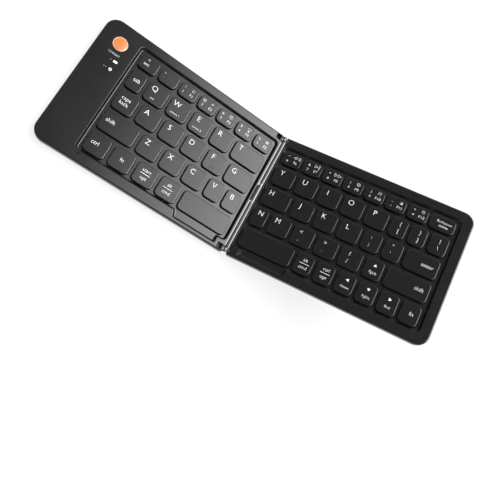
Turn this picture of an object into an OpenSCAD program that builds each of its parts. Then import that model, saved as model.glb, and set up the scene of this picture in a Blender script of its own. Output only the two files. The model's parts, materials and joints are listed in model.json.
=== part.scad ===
// Folding keyboard, hinged in the middle and opened partway.
// The left half lies flat, and the right half is raised about the hinge.
// Each half is drawn in its own frame, with the hinge axis at x = 0, the far
// edge at +y and the top of the deck at z = 0.

/* [Case] */
// Near edge to far edge
depth = 92; // [88:0.5:98]
// Top of the deck to the underside of the base
half_t = 6.6; // [6.4:0.1:8]
// Radius of the two outer corners of a half
corner_r = 8; // [6:0.5:10]
// Radius of the two corners beside the hinge
inner_corner_r = 0.8; // [0.4:0.1:1]
// Thickness of the side walls
wall_t = 1.4; // [1.2:0.1:1.6]
// Thickness of the base's floor
floor_t = 1.2; // [1:0.1:1.4]
// Rounding between the base's side and its underside
base_round = 3; // [2:0.1:3.4]
// Rounding along the deck's outer top edge
deck_round = 1.1; // [0.8:0.05:1.15]
// Rounding along the deck's top edge beside the hinge
hinge_round = 0.35; // [0.2:0.05:0.5]
// Height of the deck's side wall, down to the parting line
deck_wall_h = 2.6; // [2.2:0.1:2.8]
// Open line between the deck's wall and the base's wall
parting_gap = 0.15; // [0.1:0.05:0.3]
// Thickness of the deck's top plate
deck_t = 1.2; // [1:0.1:1.3]

/* [Fold] */
// Angle of the right half above flat
fold_rest = 26.25; // [10:0.25:60]
// Height of the hinge axis above the decks
pivot_rise = 0.25; // [0.2:0.05:0.4]
// Hinge axis to the inner side of a half
hinge_gap = 1.3; // [1.25:0.05:1.6]

/* [Key tray] */
// Depth of the sunken tray below the deck's top
tray_depth = 1.9; // [1.7:0.05:2]
// Thickness of the tray's floor and walls
tray_t = 0.8; // [0.6:0.05:0.9]
// Width of the tray's sloping wall, seen from above
tray_slope = 1.3; // [0.8:0.1:1.6]
// Rounding along the tray's top edge
tray_lip_r = 0.35; // [0.2:0.05:0.5]
// Hollow rounding at the foot of the tray's wall
tray_foot_r = 0.65; // [0.4:0.05:0.65]
// Corner radius of the tray at the deck's top
tray_r = 3; // [2.4:0.1:3.4]
// Rim between a half's inner side and its tray
hinge_rim = 1.1; // [0.9:0.1:1.5]
// Blank panel outside the left tray
left_panel_w = 24.3; // [24:0.1:26]
// Rim outside the right tray
right_rim = 6.5; // [6:0.1:8]
// Rim beyond the trays, at the far edge
far_rim = 6; // [5.8:0.1:7]
// Rim before the trays, at the near edge
near_rim = 6.8; // [6.4:0.1:7.5]
// Rim left before the thumb relief of a tray
relief_rim = 2.4; // [2.3:0.1:3.6]
// Start of the thumb relief, from the hinge axis
relief_start = 8.2; // [8:0.2:10]
// Length of the thumb relief along the near edge
relief_len = 32.6; // [20:0.2:36]
// Slant of the relief's outer end
relief_slant = 1.6; // [0.4:0.1:2.5]

/* [Keys] */
// Depth of the short keys in the number row
number_h = 10.2; // [9:0.1:11]
// Width of a number key on the right half
number_w = 13; // [12.4:0.1:13.4]
// Gap between keys in the number row
number_gap = 1.7; // [1.4:0.1:2.2]
// Width of a letter key
letter_w = 14.15; // [13.8:0.05:14.4]
// Width of an arrow, modifier or small punctuation key
small_w = 11.7; // [11:0.1:12.2]
// Width of the tab key
tab_w = 10.5; // [9.5:0.1:11.5]
// Width of a bracket key
bracket_w = 10.7; // [10:0.1:11.2]
// Width of the backslash key, which ends the upper letter row
backslash_w = 11.45; // [11:0.05:12]
// Width of the narrow key at the right half's inner edge
narrow_w = 9.9; // [9:0.1:11]
// Width of the left shift key
shift_w = 24; // [22:0.2:25]
// Width of the enter key
enter_w = 21.4; // [20:0.2:23]
// Gap between keys side by side
key_gap = 2.2; // [1.9:0.05:2.4]
// Gap between rows of keys
row_gap = 2.25; // [2:0.05:2.6]
// Tray edge to the outermost keys
key_margin = 3.3; // [3:0.1:3.8]
// Tray edge to the keys beside the hinge, left half
left_hinge_margin = 3.2; // [2.4:0.1:4]
// Tray edge to the keys beside the hinge, right half
right_hinge_margin = 2.2; // [2.1:0.1:4]
// Tray edge to the number row
far_margin = 3; // [2.6:0.1:3.5]
// Tray edge to the lowest row
near_margin = 1.95; // [1.9:0.05:2.6]
// Corner radius of a key
key_r = 2.7; // [2:0.1:3.2]
// Key top below the deck's top
key_sink = 0.2; // [0.15:0.05:0.3]
// Height of a keycap
key_height = 2.3; // [2.1:0.05:2.4]
// Wall and roof of a keycap
key_wall = 0.9; // [0.8:0.05:1.1]
// Inward slope of a key's side
key_draft = 0.1; // [0.05:0.01:0.2]
// Width of the bevel round a key's top
key_bevel = 0.4; // [0.25:0.05:0.6]
// Height of the bevel round a key's top
key_bevel_h = 0.3; // [0.2:0.05:0.4]
// Clearance between a key and its window
key_clearance = 0.3; // [0.25:0.01:0.35]
// Travel of a key
key_travel = 1.3; // [1:0.05:1.35]
// Radius of the post under a key
key_post_r = 1.6; // [1.2:0.1:2]
// Length of the raised bar on the two homing keys
homing_len = 3.2; // [2:0.1:4]
// Width of the raised bar on the two homing keys
homing_w = 0.6; // [0.4:0.05:0.8]
// Near edge of a homing key to its raised bar
homing_y = 2.6; // [2.2:0.1:3.5]
// Height of the raised bar on the two homing keys
homing_h = 0.12; // [0.08:0.01:0.13]

/* [Sheets under the keys] */
// Thickness of the support plates
plate_t = 0.5; // [0.3:0.05:0.55]
// Thickness of the printed contact sheets
contact_t = 0.25; // [0.2:0.05:0.3]
// Thickness of the rubber dome sheets
dome_sheet_t = 0.3; // [0.2:0.05:0.35]
// Foot radius of a rubber dome
dome_foot_r = 2.6; // [2:0.1:3]
// Top radius of a rubber dome
dome_top_r = 1.4; // [1:0.1:1.6]
// Clearance between stacked sheets
sheet_gap = 0.05; // [0.02:0.01:0.06]
// Length of the slot punched under each key
slot_len = 6; // [4:0.2:7]
// Width of the slot punched under each key
slot_w = 1.2; // [0.8:0.1:1.6]
// Edge of the sheets from the inner side of the walls
sheet_margin = 0.5; // [0.3:0.05:0.8]

/* [Power button and lights] */
// Outer edge to the centre of the power button
button_inset = 13.4; // [12.8:0.1:13.8]
// Far edge to the centre of the power button
button_edge = 14; // [13.6:0.1:14.4]
// Radius of the power button
button_r = 4.7; // [4.2:0.1:4.9]
// Height of the button's dome above the deck
button_rise = 0.2; // [0.1:0.05:0.3]
// Travel of the power button
button_travel = 0.5; // [0.3:0.05:0.5]
// Clearance round the button
button_clearance = 0.15; // [0.1:0.01:0.2]
// Thickness of the flange that keeps the button in
flange_t = 0.5; // [0.4:0.05:0.6]
// Width of the flange that keeps the button in
flange_w = 0.8; // [0.6:0.05:0.9]
// Radius of the button's stem
stem_r = 1.2; // [1:0.1:1.5]
// Radius of a light pipe
lens_r = 0.45; // [0.3:0.05:0.5]
// Outer edge to the charge light
light_inset = 13.8; // [13.4:0.1:14.2]
// Far edge to the charge light
charge_light_edge = 25.9; // [25.6:0.1:26.4]
// Far edge to the pairing lights
pair_light_edge = 31.7; // [31.4:0.1:31.8]
// Spacing of the two pairing lights
pair_light_pitch = 1.25; // [1.2:0.05:1.6]
// Radius of the reset pinhole
pinhole_r = 0.5; // [0.3:0.05:0.6]
// Tray's outer edge to the reset pinhole
pinhole_inset = 4; // [3.5:0.1:5]
// Near edge to the reset pinhole
pinhole_edge = 5.3; // [5:0.1:5.6]

/* [Electronics] */
// Thickness of the circuit board
board_t = 0.8; // [0.6:0.05:0.85]
// Length of the circuit board along the outer edge
board_len = 27; // [26.8:0.1:27.2]
// Width of the circuit board
board_w = 19.5; // [19:0.1:19.8]
// Width of the charging socket
socket_w = 9; // [8.8:0.1:9.2]
// Height of the charging socket
socket_h = 3.2; // [3.1:0.05:3.3]
// Length of the charging socket
socket_len = 7.6; // [7:0.1:8]
// Wall of the charging socket's metal shell
socket_wall = 0.3; // [0.25:0.01:0.35]
// Thickness of the tongue in the charging socket
tongue_t = 0.7; // [0.6:0.05:0.8]
// Open margin round the charging socket's mouth
mouth_margin = 0.3; // [0.2:0.05:0.4]
// Depth of the socket's mouth behind the side wall
mouth_sink = 0.6; // [0.4:0.1:1]
// Far edge to the centre of the charging socket
socket_edge = 24; // [23.6:0.1:24.4]
// Gap between the battery and the circuit board
battery_gap = 3.4; // [2.8:0.1:10]
// Width of the battery
battery_w = 16.5; // [14:0.1:16.6]
// Thickness of the battery
battery_t = 3.6; // [3:0.05:3.7]

/* [Hinge] */
// Radius of a hinge pin
pin_r = 0.6; // [0.55:0.01:0.65]
// Outer radius of a hinge knuckle
knuckle_r = 1.15; // [1.05:0.01:1.17]
// Running clearance round a pin in the moving knuckle
pin_clearance = 0.05; // [0.03:0.01:0.08]
// Clearance round a pin where it is held
pin_seat = 0.02; // [0.01:0.01:0.03]
// Thickness of the moving arm
arm_t = 1.9; // [1.7:0.05:2]
// Thickness of the inner fixed ear
ear_t = 0.8; // [0.6:0.05:0.85]
// Thickness of the outer fixed ear
outer_ear_t = 0.5; // [0.4:0.05:0.55]
// Side clearance between the arm and the ears
ear_gap = 0.2; // [0.15:0.01:0.22]
// Plastic left outside the outer ear
end_wall = 0.9; // [0.8:0.05:1]
// Thickness of the hinge leaves
leaf_t = 0.8; // [0.6:0.05:0.85]
// Thickness of the bars and risers between a knuckle and its leaf
bar_t = 1.1; // [0.9:0.05:1.15]
// Length of the hinge leaves into each half
leaf_len = 15; // [14:0.2:17]
// Width of the hinge leaves along the axis
leaf_w = 6; // [5.6:0.1:6.2]
// Length of the open pocket in the left half
pocket_len = 6.2; // [5.8:0.1:7]
// Length of the open pocket in the right half
right_pocket_len = 3.2; // [3:0.05:3.5]
// Radius of the spine rod
spine_r = 0.95; // [0.85:0.01:1]
// Radius of the spine rod's waist, where the ribbon passes
waist_r = 0.5; // [0.4:0.01:0.55]
// Length of the spine rod's waist
waist_len = 15; // [14:0.2:18]
// Depth of the pin's seat in the end of the spine rod
spine_seat = 2.6; // [2:0.1:4]
// Width of the ribbon cable
ribbon_w = 12; // [8:0.2:12.4]
// Thickness of the ribbon cable
ribbon_t = 0.15; // [0.1:0.01:0.2]

/* [Feet, screws and magnets] */
// Length of a rubber foot
foot_len = 10; // [8:0.2:11]
// Width of a rubber foot
foot_w = 4; // [3:0.1:5]
// Height of a rubber foot below the base
foot_h = 0.8; // [0.6:0.05:1.2]
// Depth of the pocket that holds a foot
foot_sink = 0.3; // [0.2:0.05:0.4]
// Hinge axis to the start of the nearest feet
foot_inset = 5.2; // [4.8:0.1:7]
// Near or far edge to the centre of a foot
foot_edge = 5.3; // [5.3:0.1:6]
// Radius of a screw's head
head_r = 1.5; // [1.3:0.05:1.6]
// Height of a screw's head
head_h = 0.6; // [0.5:0.05:0.65]
// Radius of a screw's shank
shank_r = 0.7; // [0.6:0.02:0.75]
// Clearance round a screw
screw_clearance = 0.06; // [0.04:0.01:0.08]
// Radius of a screw post
post_r = 2; // [1.9:0.05:2.1]
// Length of a snap tongue on the deck
tongue_len = 8; // [5:0.5:12]
// Thickness of a snap tongue on the deck
snap_t = 0.6; // [0.5:0.05:0.8]
// Reach of a snap tongue below the deck's plate
snap_h = 3; // [2:0.1:3.4]
// Length of a magnet along the outer edge
magnet_len = 8; // [6:0.2:8.4]
// Width of a magnet
magnet_w = 3; // [2:0.1:3]
// Thickness of a magnet
magnet_t = 1.3; // [1:0.05:1.35]
// Magnet centres from the middle line
magnet_y = 31; // [30:0.2:32]

/* [Hidden] */
NODES = ["left_base_shell", "left_deck", "left_support_plate", "left_contact_sheet", "left_dome_sheet",
    "battery_cell", "main_circuit_board", "usb_c_socket", "power_button", "indicator_lenses",
    "left_feet", "left_magnets", "left_screws",
    "right_base_shell", "right_deck", "right_support_plate", "right_contact_sheet", "right_dome_sheet",
    "right_feet", "right_magnets", "right_screws",
    "left_hinge_brackets", "right_hinge_brackets", "hinge_pins", "spine_rod", "link_ribbon",
    "key_q", "key_w", "key_e", "key_r", "key_t", "key_y", "key_u", "key_i", "key_o", "key_p",
    "key_a", "key_s", "key_d", "key_f", "key_g", "key_h", "key_j", "key_k", "key_l",
    "key_z", "key_x", "key_c", "key_v", "key_b", "key_n", "key_m",
    "space_key_left", "space_key_right", "number_keys_left", "number_keys_right",
    "side_keys_left", "side_keys_right", "punctuation_keys", "arrow_keys"];
// Place of the first key in the list of nodes
FIRST_KEY = 26;

$fn = 32;
LEFT = -1;
RIGHT = 1;
// Length by which a cut passes through a face
cut = 0.5;
// Depth by which a joined shape sinks into its neighbour
bite = 0.2;

// Small sizes inside the case
rib_gap = 0.3;
rib_t = 0.8;
rib_len = 12;
rib_h = 1.2;
rib_share = 0.6;
foot_clearance = 0.1;
board_post_r = 1.5;
board_post_in = 2;
board_post_end = 2.4;
board_post_out = 6;
board_edge_gap = 0.4;
board_r = 0.8;
board_outer_r = 4.5;
slot_share = 0.22;
sheet_r = 1.5;
tip_cover = 0.1;
tip_reach = 0.5;
ribbon_gap = 0.15;
tail_gap = 0.1;
drop_gap = 1;

// Small parts of the electronics
cell_r = 1.2;
seam_inset = 1.5;
seam_sink = 0.4;
seam_h = 1;
seam_reach = 1;
switch_w = 3.2;
plunger_r = 0.8;
plunger_h = 0.2;
light_len = 1;
light_w = 0.8;
chip_w = 5;
chip_in = 2;
chip_offset = 1;
connector_w = 2.6;
connector_len = 7;
connector_in = 0.4;
connector_offset = 0.5;
notch_gap = 0.1;
notch_depth = 0.4;
socket_back = 1.2;
tongue_margin = 1.2;
tongue_root = 0.6;
tongue_sink = 0.9;

// Small sizes of the hinge's brackets
pocket_gap = 0.2;
web_gap = 0.15;
web_w = 1.35;
riser_top = 2.3;
riser_foot = 1.4;
riser_start = 2;

// Colours
graphite = "#2f3032";
base_dark = "#26272a";
key_black = "#2b2c2e";
salmon = "#f39a68";
steel = "#c4c6ca";
rubber = "#151515";

// Hinge axis to the outer edge of one half, which the upper letter row of the right half fills
half_w = hinge_gap + hinge_rim + right_hinge_margin + 5 * letter_w + 2 * bracket_w + backslash_w
    + 7 * key_gap + key_margin + right_rim;

// Heights, measured from the deck's top
tray_z = -tray_depth;
tray_under = tray_z - tray_t;
floor_z = -half_t + floor_t;
base_top = -deck_wall_h - parting_gap;
key_top = -key_sink;
key_bottom = key_top - key_height;
plate_z = floor_z + sheet_gap;
contact_z = plate_z + plate_t + sheet_gap;
dome_sheet_z = contact_z + contact_t + sheet_gap;
dome_base = dome_sheet_z + dome_sheet_t;
dome_h = key_bottom - key_travel - 2 * sheet_gap - dome_base;
leaf_top = tray_under - 3 * sheet_gap;
leaf_bottom = leaf_top - leaf_t;
socket_z = floor_z + 2 * sheet_gap + socket_h / 2;
board_z = socket_z - board_t;
board_top = board_z + board_t;
switch_h = 0.75;
light_h = 0.5;
chip_h = 0.8;
connector_h = 1;
stem_bottom = board_top + switch_h + button_travel + 2 * sheet_gap;
battery_z = floor_z + 2 * sheet_gap;
magnet_z = -deck_t - sheet_gap - magnet_t;
head_z = -half_t + foot_sink + sheet_gap;

// Edges of the trays, as distances from the hinge axis and the middle line
inner_side = hinge_gap;
wall_angle = atan(tray_depth / tray_slope);
lip_reach = tray_lip_r * tan(wall_angle / 2);
foot_reach = tray_foot_r * tan(wall_angle / 2);
tray_inner = hinge_gap + hinge_rim;
tray_far = depth / 2 - far_rim;
tray_near = near_rim - depth / 2;
relief_near = relief_rim - depth / 2;
function tray_outer(side) = half_w - (side == LEFT ? left_panel_w : right_rim);
function sheet_outer(side) = tray_outer(side) - tray_slope + sheet_margin / 2;
sheet_inner = hinge_gap + wall_t + sheet_margin;
sheet_far = tray_far - tray_slope - sheet_margin;
// The ribbon drops to the contact sheet through a notch in the dome sheet
ribbon_drop_u = sheet_inner + drop_gap;
notch_margin = 0.3;
notch_w = ribbon_w + 2 * notch_margin;
ribbon_z = (leaf_bottom + base_top) / 2;
sheet_near = tray_near + tray_slope - sheet_margin;

// Bands along the hinge axis, from the outer end inwards
outer_ear_y = depth / 2 - end_wall - 2 * sheet_gap - outer_ear_t;
arm_y = outer_ear_y - ear_gap - arm_t;
ear_y = arm_y - ear_gap - ear_t;
pocket_y = ear_y - ear_gap;
spine_end = ear_y - ear_gap;
pocket_far = depth / 2 - end_wall;
right_pocket_near = arm_y - ear_gap;
right_pocket_far = outer_ear_y;
leaf_y = arm_y + arm_t - leaf_w;
leaf_start = hinge_gap + wall_t + ear_gap;
web_top = -2 * sheet_gap;

// The right half's lowest outer rounding gives the widest point of the part
reach = (half_w - base_round) * cos(fold_rest)
    + (half_t - base_round + pivot_rise) * sin(fold_rest) + base_round;
shift_x = (reach - half_w) / 2;
deck_z = foot_h + half_t;

// Places of the feet, screws and magnets, as distances from the axis and the middle line
foot_y = depth / 2 - foot_edge;
inner_foot_u = foot_inset + foot_len / 2;
outer_foot_u = half_w - foot_inset - foot_len / 2;
foot_places = [for (s = [-1, 1]) for (u = [inner_foot_u, outer_foot_u]) [u, s * foot_y]];
outer_screw_places = [for (s = [-1, 1]) [outer_foot_u, s * foot_y]];
hinge_screw_places = [for (s = [-1, 1]) [inner_foot_u, s * foot_y]];
magnet_u = half_w - wall_t - magnet_w / 2 - sheet_margin;
board_inner = half_w - wall_t - board_w - sheet_margin - board_edge_gap;
board_near = foot_y - post_r - sheet_margin - board_len;
battery_near = sheet_margin + post_r - foot_y;
battery_len = board_near - battery_gap - battery_near;
board_posts = [[board_inner + board_post_in, board_near + board_len - board_post_end],
    [board_inner + board_post_in, board_near + board_post_end],
    [board_inner + board_w - board_post_out, board_near + board_len - board_post_end]];
button_u = half_w - button_inset;
button_y = depth / 2 - button_edge;
socket_y = depth / 2 - socket_edge;
charge_light_y = depth / 2 - charge_light_edge;
pair_light_y = depth / 2 - pair_light_edge;
light_u = half_w - light_inset;
pinhole_u = tray_outer(LEFT) - pinhole_inset;
light_places = [[light_u, charge_light_y], [light_u, pair_light_y],
    [light_u + pair_light_pitch, pair_light_y]];

// Rows of keys in reading order, each with the node it belongs to and its width
// A width of 0 shares what the row has left
SHARE = 0;
L = letter_w;
S = small_w;
left_rows = [
    [for (k = [1:7]) ["number_keys_left", SHARE]],
    [["side_keys_left", tab_w], ["key_q", L], ["key_w", L], ["key_e", L], ["key_r", L], ["key_t", SHARE]],
    [["side_keys_left", L], ["key_a", L], ["key_s", L], ["key_d", L], ["key_f", L], ["key_g", SHARE]],
    [["side_keys_left", shift_w], ["key_z", L], ["key_x", L], ["key_c", L],
        ["key_v", SHARE], ["key_b", SHARE]],
    [for (k = [1:5]) k < 5 ? ["side_keys_left", L] : ["space_key_left", SHARE]]];
right_rows = [
    [for (k = [1:8]) k < 8 ? ["number_keys_right", number_w] : ["side_keys_right", SHARE]],
    [["key_y", L], ["key_u", L], ["key_i", L], ["key_o", L], ["key_p", L],
        ["punctuation_keys", bracket_w], ["punctuation_keys", bracket_w],
        ["punctuation_keys", backslash_w]],
    [["key_h", SHARE], ["key_j", L], ["key_k", L], ["key_l", L],
        ["punctuation_keys", S], ["punctuation_keys", S], ["side_keys_right", enter_w]],
    [["key_n", narrow_w], ["key_m", L], ["punctuation_keys", L], ["punctuation_keys", L],
        ["punctuation_keys", L], ["arrow_keys", S], ["side_keys_right", SHARE]],
    [["space_key_right", SHARE], ["side_keys_right", S], ["side_keys_right", S],
        ["arrow_keys", S], ["arrow_keys", S], ["arrow_keys", S], ["side_keys_right", S]]];

rows_top = tray_far - far_margin;
rows_bottom = tray_near + near_margin;
key_h = (rows_top - rows_bottom - number_h - 4 * row_gap) / 4;

function row_h(r) = r == 0 ? number_h : key_h;
function row_near(r) = rows_top - number_h - r * (key_h + row_gap);
function row_step(r) = r == 0 ? number_gap : key_gap;
function row_start(side) = side == LEFT ? key_margin - tray_outer(LEFT) : tray_inner + right_hinge_margin;
function row_end(side) = side == LEFT ? -tray_inner - left_hinge_margin : tray_outer(RIGHT) - key_margin;
function total(v, i = 0) = i < len(v) ? v[i] + total(v, i + 1) : 0;
function share_w(side, r, row) =
    let (fixed = total([for (k = row) k[1]]), shares = total([for (k = row) k[1] == SHARE ? 1 : 0]))
    (row_end(side) - row_start(side) - fixed - (len(row) - 1) * row_step(r)) / max(1, shares);

// Every key of one half as [node, left edge, near edge, width, depth, row, place in the row]
function half_keys(side) =
    let (rows = side == LEFT ? left_rows : right_rows)
    [for (r = [0:4]) let (row = rows[r], rest = share_w(side, r, row),
        widths = [for (k = row) k[1] == SHARE ? rest : k[1]])
        for (i = [0:len(row) - 1])
            [row[i][0], row_start(side) + total([for (j = [0:1:i - 1]) widths[j] + row_step(r)]),
                row_near(r), widths[i], row_h(r), r, i]];
left_keys = half_keys(LEFT);
right_keys = half_keys(RIGHT);

// Outlines with rounded corners, each corner given as [x, y, radius]
function unit(v) = v / norm(v);
function flat(p) = [p[0], p[1]];
function corner(p, c, q, r, n) =
    let (a = unit(p - c), b = unit(q - c), half = acos(a * b) / 2, m = c + unit(a + b) * r / sin(half),
        s = c + a * r / tan(half) - m, e = c + b * r / tan(half) - m, start = atan2(s.y, s.x),
        turn = (atan2(e.y, e.x) - start + 540) % 360 - 180)
    [for (i = [0:n]) m + r * [cos(start + turn * i / n), sin(start + turn * i / n)]];
function rounded(c, n) = let (k = len(c))
    [for (i = [0:k - 1]) each corner(flat(c[(i + k - 1) % k]), flat(c[i]), flat(c[(i + 1) % k]), c[i][2], n)];
function box_outline(x0, y0, x1, y1, r, n) =
    rounded([[x0, y0, r], [x1, y0, r], [x1, y1, r], [x0, y1, r]], n);

// Outline of one half, drawn in by a margin, with a margin of its own beside the hinge
function half_outline(i, inner) = rounded([
    [inner_side + inner, i - depth / 2, max(inner_corner_r - i, 0.2)],
    [half_w - i, i - depth / 2, corner_r - i],
    [half_w - i, depth / 2 - i, corner_r - i],
    [inner_side + inner, depth / 2 - i, max(inner_corner_r - i, 0.2)]], 9);

// Inside of a half's side walls
function cavity_outline() = rounded([
    [inner_side + wall_t, wall_t - depth / 2, 0.5],
    [half_w - wall_t, wall_t - depth / 2, corner_r - wall_t],
    [half_w - wall_t, depth / 2 - wall_t, corner_r - wall_t],
    [inner_side + wall_t, depth / 2 - wall_t, 0.5]], 6);

// Outline of a key tray with its thumb relief, drawn in by a margin
function tray_outline(side, i) = rounded([
    [tray_inner + i, tray_near + i, tray_r - i],
    [relief_start + i, tray_near + i, max(0.3 + i, 0.1)],
    [relief_start + i, relief_near + i, 0.5],
    [relief_start + relief_len - relief_slant - i, relief_near + i, 0.5],
    [relief_start + relief_len - i, tray_near + i, max(0.5 + i, 0.1)],
    [tray_outer(side) - i, tray_near + i, tray_r - i],
    [tray_outer(side) - i, tray_far - i, tray_r - i],
    [tray_inner + i, tray_far - i, tray_r - i]], 4);

// Section of a tray's wall as [margin, height], from its hollow foot up to its rounded lip
wall_section = concat(
    [for (k = [0:3]) let (a = wall_angle * k / 3)
        [tray_slope + foot_reach - tray_foot_r * sin(a), tray_z + tray_foot_r * (1 - cos(a))]],
    [for (k = [2:-1:0]) let (a = wall_angle * k / 2)
        [tray_lip_r * sin(a) - lip_reach, -tray_lip_r * (1 - cos(a))]]);

// A closed skin through outlines that have the same number of points
module loft(rings, heights) {
    n = len(rings[0]);
    top = len(rings) - 1;
    points = [for (k = [0:top]) for (p = rings[k]) [p.x, p.y, heights[k]]];
    sides = [for (k = [0:top - 1]) for (i = [0:n - 1])
        [k * n + i, (k + 1) * n + i, (k + 1) * n + (i + 1) % n, k * n + (i + 1) % n]];
    floor = [for (i = [0:n - 1]) i];
    roof = [for (i = [n - 1:-1:0]) top * n + i];
    polyhedron(points = points, faces = concat([floor], sides, [roof]));
}

module slab(outline, z0, z1) {
    translate([0, 0, z0])
        linear_extrude(z1 - z0)
            polygon(outline);
}

module block(x0, y0, z0, x1, y1, z1) {
    translate([x0, y0, z0])
        cube([x1 - x0, y1 - y0, z1 - z0]);
}

module disc(u, y, r, z0, z1) {
    translate([u, y, z0])
        cylinder(r = r, h = z1 - z0);
}

// A flat pad with two round ends, long in x
module pad(u, y, len, w, z0, z1) {
    disc(u - (len - w) / 2, y, w / 2, z0, z1);
    disc(u + (len - w) / 2, y, w / 2, z0, z1);
    block(u - (len - w) / 2, y - w / 2, z0, u + (len - w) / 2, y + w / 2, z1);
}

// A profile in x and z, given as thickness along the hinge axis
module plate_profile(outline, y0, y1) {
    translate([0, y1, 0])
        rotate([90, 0, 0])
            linear_extrude(y1 - y0)
                polygon(outline);
}

module axis_rod(r, y0, y1) {
    translate([0, y1, pivot_rise])
        rotate([90, 0, 0])
            cylinder(r = r, h = y1 - y0);
}

module both_ends() {
    children();
    mirror([0, 1, 0])
        children();
}

// Places a half's own frame in the whole part
module on_left() {
    translate([-shift_x, 0, deck_z])
        children();
}

module on_right() {
    translate([-shift_x, 0, deck_z + pivot_rise])
        rotate([0, -fold_rest, 0])
            translate([0, 0, -pivot_rise])
                children();
}

module place(side) {
    if (side == LEFT)
        on_left()
            mirror([1, 0, 0])
                children();
    else
        on_right()
            children();
}

module place_keys(side) {
    if (side == LEFT)
        on_left()
            children();
    else
        on_right()
            children();
}

// Solid of a deck with its rounded top edges
module deck_form() {
    steps = [0, 18, 36, 54, 72, 90];
    loft(concat([half_outline(0, 0)],
            [for (a = steps) half_outline(deck_round * (1 - cos(a)), hinge_round * (1 - cos(a)))]),
        concat([-deck_wall_h], [for (a = steps) deck_round * (sin(a) - 1)]));
}

// Opening of a sunken tray down to its floor
module tray_hollow(side) {
    last = len(wall_section) - 1;
    loft(concat([tray_outline(side, wall_section[0][0])], [for (p = wall_section) tray_outline(side, p[0])],
            [tray_outline(side, wall_section[last][0])]),
        concat([tray_z - bite], [for (p = wall_section) p[1]], [cut]));
}

// Rim and sunken tray of a deck, with its screw bosses and tongues
module deck_shell(side) {
    difference() {
        union() {
            difference() {
                deck_form();
                slab(cavity_outline(), -deck_wall_h - cut, -deck_t);
            }
            slab(tray_outline(side, -tray_t), tray_under, -deck_t + cut);
            for (p = concat(outer_screw_places, hinge_screw_places))
                disc(p.x, p.y, post_r, leaf_top, boss_top(p));
            snap_tongues();
        }
        tray_hollow(side);
    }
}

// Upper shell of a half, with its flat tray floor and the holes for the screws and the hinge
module deck_body(side) {
    difference() {
        union() {
            deck_shell(side);
            slab(tray_outline(side, tray_slope - bite), tray_z - 2 * bite, tray_z);
        }
        for (p = concat(outer_screw_places, hinge_screw_places))
            disc(p.x, p.y, shank_r + screw_clearance, leaf_top - cut, screw_tip(p) + sheet_gap);
        both_ends()
            hinge_pocket(side);
    }
}

// A boss under the thumb relief ends at the tray's floor, and the others at the top plate
function under_relief(p) = p.y < 0 && p.x < relief_start + relief_len;
function boss_top(p) = under_relief(p) ? tray_under + bite : -deck_t + bite;
function screw_tip(p) = under_relief(p) ? tray_under + tip_reach : -deck_t - tip_cover;

// Tongues inside the long sides, which snap behind the base's walls
module snap_tongues() {
    y = depth / 2 - wall_t - sheet_gap;
    for (s = [-1, 1])
        for (k = [1:3]) {
            u = half_w * k / 4;
            block(u - tongue_len / 2, min(s * y, s * (y - snap_t)), -deck_t - snap_h,
                u + tongue_len / 2, max(s * y, s * (y - snap_t)), -deck_t + bite);
        }
}

// Opening at one end of the hinge, for the ears on the left half or the arm on the right half
module hinge_pocket(side) {
    if (side == LEFT)
        block(0, pocket_y, leaf_top, pocket_len, pocket_far, cut);
    else
        block(0, right_pocket_near, leaf_top, right_pocket_len, right_pocket_far, cut);
}

// The windows that the keys travel in
module key_windows(keys) {
    c = key_clearance;
    for (k = keys)
        slab(box_outline(k[1] - c, k[2] - c, k[1] + k[3] + c, k[2] + k[4] + c, key_r + c, 3),
            tray_under - cut, tray_z + cut);
}

module socket_mouth(margin) {
    w = socket_w + 2 * margin;
    h = socket_h + 2 * margin;
    translate([half_w - wall_t - cut, socket_y, socket_z])
        rotate([0, 90, 0])
            linear_extrude(wall_t + 2 * cut)
                stadium(w, h);
}

// A flat outline with two round ends, long in y
module stadium(w, h) {
    for (s = [-1, 1])
        translate([0, s * (w - h) / 2])
            circle(d = h);
    square([h, w - h], center = true);
}

module left_deck() {
    color(graphite)
        difference() {
            place(LEFT)
                difference() {
                    deck_body(LEFT);
                    disc(button_u, button_y, button_r + button_clearance, -deck_t - cut, cut);
                    for (p = light_places)
                        disc(p.x, p.y, lens_r + sheet_gap, -deck_t - cut, cut);
                    disc(pinhole_u, pinhole_edge - depth / 2, pinhole_r, -deck_t - cut, cut);
                    socket_mouth(mouth_margin);
                }
            place_keys(LEFT)
                key_windows(left_keys);
        }
}

module right_deck() {
    color(graphite)
        difference() {
            place(RIGHT)
                deck_body(RIGHT);
            place_keys(RIGHT)
                key_windows(right_keys);
        }
}

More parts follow.
